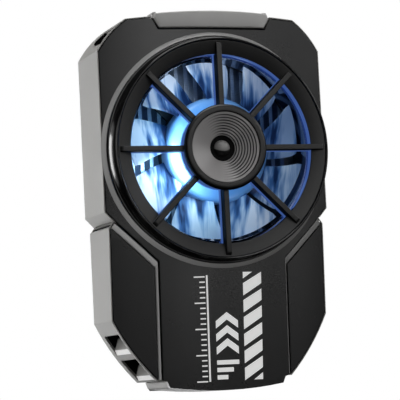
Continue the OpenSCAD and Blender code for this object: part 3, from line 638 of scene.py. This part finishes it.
bm = bmesh.new()
add_lathe(bm, fillet([(25.16, -4.0), (25.16, -5.9), (22.0, -4.85), (22.0, -4.0)], [0.0, 0.12, 0.16, 0.0]), 256)
SPOKES = 8
for i in range(SPOKES):
    t = 2 * math.pi * i / SPOKES
    u, v = Vector((math.cos(t), math.sin(t))), Vector((-math.sin(t), math.cos(t)))
    prof = fillet([(-0.625, -4.0), (-0.625, -6.3), (0.625, -6.3), (0.625, -4.0)], [0, 0.16, 0.16, 0], 4)
    secs = []
    for r, drop in ((8.6, 0.0), (12.0, 0.0), (16.0, 0.0), (20.0, 0.0), (24.0, 0.0), (24.3, 0.06), (24.55, 0.28), (24.7, 0.55)):
        secs.append([P(*(lambda w, y: (w.x, y, w.y))(u * r + v * s, min(y + drop, -4.0))) for s, y in prof])
    add_sweep(bm, secs)
HUB = [(0, -4.0), (9.07, -4.0), (9.3, -6.2), (9.8, -6.75), (9.92, -6.95), (9.95, -7.15), (9.93, -7.35), (9.84, -7.54), (9.7, -7.7), (9.5, -7.84), (9.25, -7.93), (9.0, -7.96), (8.5, -7.96), (8.36, -7.93), (8.24, -7.84), (8.2, -7.7), (8.2, -7.3), (3.2, -4.62), (0, -4.6)]
add_solid_lathe(bm, HUB, 160)
grille = make("spoke_grille", bm, "grille", "housing", 34)
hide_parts("grille")
# painted shade: side faces of the spokes and hub, the hub's inner wall and part of its rim take the blacker copy of the
# grille plastic
second(grille, "grille_side", lambda p: p.normal.y > -0.55 or (math.hypot(p.center.x, p.center.z) < 0.0082 and p.center.y > -0.0275) or (0.0094 < math.hypot(p.center.x, p.center.z) < 0.01 and p.center.y < -0.0265 and p.center.z < 0.004))


# lit light guide behind the grille: an outer ring, eight arms and a hub ring
bm = bmesh.new()
SHIFT = -0.25
add_lathe(bm, [(24.2, -3.99), (24.2, -3.2), (22.08, -3.2), (22.08, -3.99)], 192)
add_lathe(bm, [(9.45, -3.99), (9.45, -3.2), (5.0, -3.2), (5.0, -3.99)], 128)
for i in range(SPOKES):
    t = 2 * math.pi * i / SPOKES
    u, v = Vector((math.cos(t), math.sin(t))), Vector((-math.sin(t), math.cos(t)))
    secs = []
    for r in (8.6, 12.0, 17.0, 22.4):
        secs.append([P(*(lambda w, y: (w.x, y, w.y))(u * r + v * d, y)) for d, y in ((-0.625, -3.99), (-0.625, -3.24), (-0.585, -3.2), (0.585, -3.2), (0.625, -3.24), (0.625, -3.99))])
    add_sweep(bm, secs)
for v in bm.verts:
    v.co.x += SHIFT * 0.001
    v.co.z -= 0.00012
spider = make("light_spider", bm, "guide", "housing", 30)
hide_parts("light_guide")

# lit edge along the right-hand side of the opening
bm = bmesh.new()
secs = []
for i in range(97):
    t = math.radians(lerp(-40, 98, i / 96))
    w = 0.11 * smooth(-0.05, 0.25, math.sin(math.pi * i / 96)) + 0.005
    secs.append([P(r * math.cos(t), y, r * math.sin(t)) for r, y in ((21.995, -4.0), (21.995, -4.72), (21.995 - w * 0.6, -4.72), (21.995 - w, -4.64), (21.995 - w, -4.0))])
add_sweep(bm, secs)
make("glow_liner", bm, "guide", "housing", 34)


def dish(r):
    return -7.62 + (8.15 - r) * 0.47


# dished disc: the fine grooves fade out towards one side
GROOVES = [3.3 + i * 0.6 for i in range(8)]
radii = [3.05]
for g in GROOVES:
    radii += [g - 0.2, g - 0.17, g - 0.08, g, g + 0.08, g + 0.17]
radii += [7.85, 8.0, 8.1]
bm = bmesh.new()
loop = [(3.0, dish(3.05) + 0.38)] + [(r, dish(r)) for r in radii] + [(8.15, dish(8.15) + 0.06), (8.15, dish(8.15) + 0.3)]


def groove(k, x, z, y, t):
    r = math.hypot(x, z)
    if k == 0 or k > len(radii):
        return y
    near = min(abs(r - g) for g in GROOVES)
    depth = 0.2 * smooth(-0.42, 0.25, math.cos(t - math.radians(17)))
    return y + depth * max(0.0, 1 - near / 0.17)


add_lathe(bm, loop, 240, groove)
dish_obj = make("hub_dish", bm, "disc", "housing", 30)
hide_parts("hub_disc")

# black ring in the middle hole, painted shade of the hole
bm = bmesh.new()
add_lathe(bm, [(1.97, -4.61), (1.97, -4.66), (2.4, -4.68), (2.86, -4.78), (2.99, -4.95), (2.99, -4.61)], 96)
make("hub_pit", bm, "pit", "housing", 40)

bm = bmesh.new()
dome = [(0, -6.1)] + [(2 * math.sin(math.radians(d)), -4.1 - 2 * math.cos(math.radians(d))) for d in range(6, 76, 6)] + [(1.93, -4.62), (0, -4.6)]
add_solid_lathe(bm, dome, 64)
stud = make("hub_dome", bm, "stud", "housing", 40)
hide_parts("hub_stud")

# ------------------------------------------------------------------ impeller

BLADES = 9
bm = bmesh.new()
hub = [(0, -2.8), (7.9, -2.8), (8.13, -2.72), (8.2, -2.5), (8.2, -1.9), (11.2, -1.9), (11.75, -1.75), (12.2, -1.35), (12.4, -0.8), (12.4, 2.75), (12.3, 2.9), (11.7, 2.9), (11.6, 2.75), (11.6, -1.1), (8.2, -1.1), (8.2, 2.8), (7.55, 2.8), (7.52, -1.9), (0, -1.9)]
add_solid_lathe(bm, hub, 160)
hub_obj = make("impeller_hub", bm, "hub", "rotor", 40)

bm = bmesh.new()
NU, NV = 16, 14
for b in range(BLADES):
    base = math.radians(10 + 360 / BLADES * b)
    grid = []
    for face in (-1, 1):
        rows = []
        for iu in range(NU + 1):
            u = iu / NU
            r = lerp(12.25, 20.75, u)
            pitch = math.radians(lerp(33, 20, u))
            chord = lerp(7.6, 13.0, u) * (1 - 0.06 * smooth(0.85, 1.0, u))
            phi = base + math.radians(8 * (u - 0.5))
            row = []
            for iv in range(NV + 1):
                v = iv / NV - 0.5
                thick = 0.30 * math.sqrt(max(0.0, 1 - (2 * v) ** 2)) + 0.05
                camber = 0.5 * (1 - (2 * v) ** 2)
                tx = v * chord * math.cos(pitch) + (camber + face * thick) * math.sin(pitch)
                yy = -v * chord * math.sin(pitch) + (camber + face * thick) * math.cos(pitch) - 0.3
                yy = max(-2.55, min(2.55, yy))
                ang = phi + tx / r
                row.append(bm.verts.new(P(r * math.cos(ang), yy, r * math.sin(ang))))
            rows.append(row)
        grid.append(rows)
    lo, hi = grid
    for iu in range(NU):
        for iv in range(NV):
            bm.faces.new((lo[iu][iv], lo[iu][iv + 1], lo[iu + 1][iv + 1], lo[iu + 1][iv]))
            bm.faces.new((hi[iu][iv], hi[iu + 1][iv], hi[iu + 1][iv + 1], hi[iu][iv + 1]))
        for iv in (0, NV):
            bm.faces.new((lo[iu][iv], lo[iu + 1][iv], hi[iu + 1][iv], hi[iu][iv]))
    for iv in range(NV):
        for iu in (0, NU):
            bm.faces.new((lo[iu][iv], hi[iu][iv], hi[iu][iv + 1], lo[iu][iv + 1]))
blades = make("impeller_blades", bm, "blade", "rotor", 50)
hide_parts("impeller")

# ------------------------------------------------------------------ marks on the middle panel


def mark(bm, pts, lift=0.03, cuts=5):
    """A flat inked shape that lies on the crowned front."""
    tmp = bmesh.new()
    tmp.faces.new([tmp.verts.new((x, 0, z)) for x, z in pts])
    bmesh.ops.triangulate(tmp, faces=tmp.faces)
    for _ in range(8):
        long = [e for e in tmp.edges if e.calc_length() > 1.2]
        if not long:
            break
        bmesh.ops.subdivide_edges(tmp, edges=long, cuts=1)
        bmesh.ops.triangulate(tmp, faces=[f for f in tmp.faces if len(f.verts) > 3])
    geo = bmesh.ops.extrude_face_region(tmp, geom=tmp.faces[:])
    top = {v for v in geo["geom"] if isinstance(v, bmesh.types.BMVert)}
    for v in tmp.verts:
        x, z = v.co.x, v.co.z
        v.co = P(x, front(x, z, 0.0) + (-lift if v in top else 0.02), z)
    idx = {v: bm.verts.new(v.co) for v in tmp.verts}
    for f in tmp.faces:
        bm.faces.new([idx[v] for v in f.verts])
    tmp.free()


def circle_pts(x, z, r, n=20):
    return [(x + r * math.cos(2 * math.pi * i / n), z + r * math.sin(2 * math.pi * i / n)) for i in range(n)]


bm = bmesh.new()
# slanted stripes in a column that narrows a little downwards, cut off square at both ends
ZTOP, ZBOT = -28.5, -53.35


def col_l(z):
    return lerp(4.43, 4.11, (ZTOP - z) / (ZTOP - ZBOT))


def col_r(z):
    return lerp(9.01, 8.60, (ZTOP - z) / (ZTOP - ZBOT))


for k in range(6):
    lt, lb, rt, rb = -31.08 - 3.9 * k, -33.92 - 3.9 * k, -28.57 - 3.88 * k, -31.2 - 3.88 * k
    mark(bm, [(col_l(lt), lt), (col_r(rt), rt), (col_r(rb), rb), (col_l(lb), lb)])
mark(bm, [(col_l(ZTOP), ZTOP), (6.75, ZTOP), (col_l(-30.0), -30.0)])
mark(bm, [(col_r(-51.75), -51.75), (col_r(ZBOT), ZBOT), (6.35, ZBOT)])
stripes = make("stripe_marks", bm, "ink", "housing", 30)

bm = bmesh.new()
# three chevrons that point up
for i in range(3):
    z = -37.6 - i * 3.0
    mark(bm, [(-2.6, z - 2.0), (0.1, z), (0.1, z - 1.7), (-2.6, z - 3.7)])
    mark(bm, [(2.8, z - 2.0), (2.8, z - 3.7), (0.1, z - 1.7), (0.1, z)])
# bars of falling length below them
for i, w in enumerate((5.4, 4.0, 2.6)):
    z = -48.6 - i * 1.7
    mark(bm, [(-2.6, z), (-2.6 + w, z), (-2.6 + w, z - 1.0), (-2.6, z - 1.0)])
# upright scale with long and short ticks
mark(bm, [(-4.6, -29.0), (-4.2, -29.0), (-4.2, -53.4), (-4.6, -53.4)])
for i in range(21):
    z = -29.2 - i * 1.2
    w = 2.6 if i % 5 == 0 else 1.3
    mark(bm, [(-4.9, z), (-4.9, z - 0.3), (-4.9 - w, z - 0.3), (-4.9 - w, z)])
panel = make("panel_marks", bm, "ink", "housing", 30)

# ------------------------------------------------------------------ springs

for side, node in ((-1, "left_spring"), (1, "right_spring")):
    cx, cy = side * 18.0, 14.2
    pts = []
    turns, z0, z1 = 36, -39.3, -18.7
    for i in range(17):
        t = math.radians(-90 + 270 * i / 16)
        pts.append((cx + 1.0 * math.cos(t) * 0.0 + 1.0 * math.sin(t), cy, -41.0 + 1.0 * math.cos(t + math.pi)))
    for i in range(turns * 12 + 1):
        t = 2 * math.pi * i / 12
        pts.append((cx + 1.0 * math.cos(t), cy + 1.0 * math.sin(t), lerp(z0, z1, i / (turns * 12))))
    for i in range(17):
        t = math.radians(180 - 270 * i / 16)
        pts.append((cx + 1.0 * math.sin(t), cy, -17.0 + 1.0 * math.cos(t)))
    cu = bpy.data.curves.new(node + "_line", "CURVE")
    cu.dimensions = "3D"
    cu.bevel_depth = 0.00026
    cu.bevel_resolution = 2
    sp = cu.splines.new("POLY")
    sp.points.add(len(pts) - 1)
    for p, c in zip(sp.points, pts):
        p.co = (*P(*c), 1)
    tmp = bpy.data.objects.new(node + "_tmp", cu)
    bpy.context.scene.collection.objects.link(tmp)
    bpy.context.view_layer.update()
    me = bpy.data.meshes.new_from_object(tmp.evaluated_get(bpy.context.evaluated_depsgraph_get()))
    bpy.data.objects.remove(tmp)
    for p in me.polygons:
        p.use_smooth = True
    me.materials.clear()
    me.materials.append(M["steel"].m)
    coil = bpy.data.objects.new(node + "_coil", me)
    bpy.context.scene.collection.objects.link(coil)
    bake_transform(coil)
    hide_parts(node)

# ------------------------------------------------------------------ stage, light and camera

scene = bpy.context.scene
scene.view_settings.view_transform = "Standard"
scene.view_settings.look = "None"

world = bpy.data.worlds.new("studio")
scene.world = world
world.use_nodes = True
wt = world.node_tree
wt.nodes.clear()
wo = wt.nodes.new("ShaderNodeOutputWorld")
seen, fill = wt.nodes.new("ShaderNodeBackground"), wt.nodes.new("ShaderNodeBackground")
mix, path = wt.nodes.new("ShaderNodeMixShader"), wt.nodes.new("ShaderNodeLightPath")
seen.inputs["Color"].default_value = (1, 1, 1, 1)
fill.inputs["Color"].default_value = (1, 1, 1, 1)
fill.inputs["Strength"].default_value = 0.0
wt.links.new(path.outputs["Is Camera Ray"], mix.inputs["Fac"])
wt.links.new(fill.outputs[0], mix.inputs[1])
wt.links.new(seen.outputs[0], mix.inputs[2])
wt.links.new(mix.outputs[0], wo.inputs["Surface"])

floor_mat = Mat("floor_pale")
fn = floor_mat.noise(30, 3)
floor_mat.to(floor_mat.ramp(fn, [(0.3, (0.86, 0.86, 0.86)), (0.7, (0.9, 0.9, 0.9))]), "Base Color")
floor_mat.to(floor_mat.rng(fn, 0.6, 0.75), "Roughness")
floor_mat.set(Emission_Color=(1, 1, 1, 1), Emission_Strength=0.35)
bm = bmesh.new()
bmesh.ops.create_circle(bm, cap_ends=True, radius=0.32, segments=96)
me = bpy.data.meshes.new("floor")
bm.to_mesh(me)
bm.free()
me.materials.append(floor_mat.m)
floor = bpy.data.objects.new("floor", me)
floor.location = (0, 0, -0.062)
scene.collection.objects.link(floor)
floor.visible_diffuse = floor.visible_glossy = floor.visible_transmission = floor.visible_shadow = False

AIM = Vector((0.0, -0.012, -0.010))
# what the fan opening holds is lit by its own lamps, and everything else by the soft boxes
inside, outside = bpy.data.collections.new("lit_by_lamps"), bpy.data.collections.new("lit_by_boxes")
INSIDE = {"impeller_hub", "impeller_blades", "heat_sink", "fan_frame", "fan_shroud", "led_board", "leds", "fan_screws"}
for o in scene.objects:
    if o.type == "MESH":
        (inside if o.name in INSIDE else outside).objects.link(o)


def soft_box(name, az, el, dist, size, power, col):
    """Azimuth and elevation in degrees (0, 0 is straight in front), distance and size in millimetres, power in watts."""
    az, el = math.radians(az), math.radians(el)
    ld = bpy.data.lights.new(name, "AREA")
    ld.shape = "SQUARE"
    ld.size = size * 0.001
    ld.energy = power
    ld.color = col
    lo = bpy.data.objects.new(name, ld)
    lo.location = AIM + Vector((math.sin(az) * math.cos(el), -math.cos(az) * math.cos(el), math.sin(el))) * (dist * 0.001)
    lo.rotation_euler = (AIM - lo.location).to_track_quat("-Z", "Y").to_euler()
    lo.light_linking.receiver_collection = outside
    scene.collection.objects.link(lo)
    return lo


def glow_light(name, angle, radius, size, power, col, y=-10.0):
    """Lamp glow at an angle and radius about the fan axis, seen only by the pieces inside the fan."""
    t = math.radians(angle)
    ld = bpy.data.lights.new(name, "AREA")
    ld.shape = "DISK"
    ld.size = size * 0.001
    ld.energy = power
    ld.color = col
    lo = bpy.data.objects.new(name, ld)
    lo.location = P(radius * math.cos(t), y, radius * math.sin(t))
    lo.rotation_euler = (math.radians(90), 0, 0)
    lo.visible_camera = False
    lo.light_linking.receiver_collection = inside
    lo.light_linking.blocker_collection = inside
    scene.collection.objects.link(lo)
    return lo


WHITE = (1.0, 1.0, 1.0)
LIGHTS = [
    ("side_left", -95, 10, 600, 400, 0.99, WHITE),
    ("low_left", -90, -35, 600, 260, 0.28, WHITE),
    ("left_back", -150, 5, 500, 260, 0.10, WHITE),
    ("top", 0, 85, 560, 420, 2.65, WHITE),
    ("back", 180, 0, 600, 400, 2.22, WHITE),
    ("side_right", 80, 20, 600, 260, 0.70, WHITE),
    ("front_a", 10, 0, 600, 100, 0.101, WHITE),
    ("front_b", -5, 0, 600, 100, 0.041, WHITE),
    ("front_c", 25, 0, 600, 100, 0.066, WHITE),
    ("front_d", 40, 0, 600, 100, 0.056, WHITE),
    ("front_e", -5, 10, 600, 100, 0.064, WHITE),
    ("front_f", -20, 20, 600, 100, 0.040, WHITE),
    ("front_g", 40, 20, 600, 100, 0.050, WHITE),
    ("front_h", 55, 20, 600, 100, 0.109, WHITE),
    ("front_low", -30, -50, 600, 260, 0.019, WHITE),
    ("near_a", 5, 25, 170, 60, 0.0208, WHITE),
    ("near_b", 25, 25, 170, 60, 0.0079, WHITE),
    ("near_c", 40, 15, 170, 60, 0.0037, WHITE),
]
for row in LIGHTS:
    soft_box(*row)

GLOW = [
    ("core_175", 175, 10.4, 2.5, 0.00045, (0.85, 0.96, 1.0), -5.4),
    ("core_195", 195, 10.4, 2.5, 0.00080, (0.90, 0.97, 1.0), -5.4),
    ("core_215", 215, 10.4, 2.5, 0.00060, (0.82, 0.95, 1.0), -5.4),
    ("core_240", 240, 10.6, 2.5, 0.00012, (0.45, 0.80, 1.0), -5.4),
    ("core_150", 150, 10.6, 2.5, 0.00014, (0.45, 0.80, 1.0), -5.4),
    ("hub_160", 160, 12.0, 4.0, 0.00026, (0.20, 0.60, 1.0)),
    ("hub_190", 190, 12.0, 4.0, 0.00090, (0.24, 0.64, 1.0)),
    ("hub_215", 215, 12.0, 4.0, 0.00070, (0.24, 0.64, 1.0)),
    ("hub_250", 250, 12.0, 4.0, 0.00022, (0.18, 0.58, 1.0)),
    ("hub_285", 285, 12.0, 4.0, 0.00012, (0.16, 0.56, 1.0)),
    ("hub_125", 125, 12.0, 4.0, 0.00026, (0.16, 0.54, 1.0)),
    ("hub_90", 90, 12.0, 4.0, 0.00014, (0.16, 0.52, 1.0)),
    ("fan_4", 202.5, 17.0, 6.0, 0.00080, (0.74, 0.88, 1.0)),
    ("fan_3", 157.5, 17.0, 6.0, 0.00010, (0.30, 0.60, 1.0)),
    ("fan_2", 112.5, 17.0, 6.0, 0.00080, (0.84, 0.92, 1.0)),
    ("fan_1", 67.5, 17.0, 6.0, 0.00032, (0.74, 0.86, 1.0)),
    ("fan_0", 22.5, 17.0, 6.0, 0.00007, (0.36, 0.60, 1.0)),
    ("fan_7", 337.5, 17.0, 6.0, 0.00016, (0.60, 0.80, 1.0)),
    ("fan_6", 292.5, 17.0, 6.0, 0.00027, (0.88, 0.93, 1.0)),
    ("fan_5", 247.5, 17.0, 6.0, 0.00011, (0.55, 0.78, 1.0)),
]
for row in GLOW:
    glow_light(*row)

# narrow upright lamp that draws the streak on the drum
streak = soft_box("drum_streak", -150, 5, 470, 150, 0.28, WHITE)
streak.data.shape = "RECTANGLE"
streak.data.size_y = 0.15
drum_only = bpy.data.collections.new("drum_only")
drum_only.objects.link(drum)
streak.light_linking.receiver_collection = drum_only

# low lamp for the hub disc alone
disc_only = bpy.data.collections.new("disc_only")
disc_only.objects.link(dish_obj)
disc_lamp = soft_box("disc_low", -15, -35, 600, 100, 0.32, WHITE)
disc_lamp.light_linking.receiver_collection = disc_only

# low lamp for the bevelled trims alone
trim_only = bpy.data.collections.new("trim_only")
for o in strips + [ring, lip_obj]:
    trim_only.objects.link(o)
trim_lamp = soft_box("trim_low", -50, -35, 600, 200, 0.9, WHITE)
trim_lamp.light_linking.receiver_collection = trim_only

cam_d = bpy.data.cameras.new("camera")
cam_d.sensor_width = 36.0
cam_d.lens = 2129.77 / 400 * 36.0
cam_d.clip_start, cam_d.clip_end = 0.01, 50
cam = bpy.data.objects.new("camera", cam_d)
fwd = Vector((0.3203264, 0.9428786, 0.0914934)).normalized()
up = Vector((0.0185397, -0.1028039, 0.9945289))
right = fwd.cross(up).normalized()
up = right.cross(fwd).normalized()
rot = Matrix((right, up, -fwd)).transposed().to_4x4()
cam.matrix_world = Matrix.Translation(Vector((-162.30, -484.63, -56.51)) * 0.001) @ rot
scene.collection.objects.link(cam)
scene.camera = cam
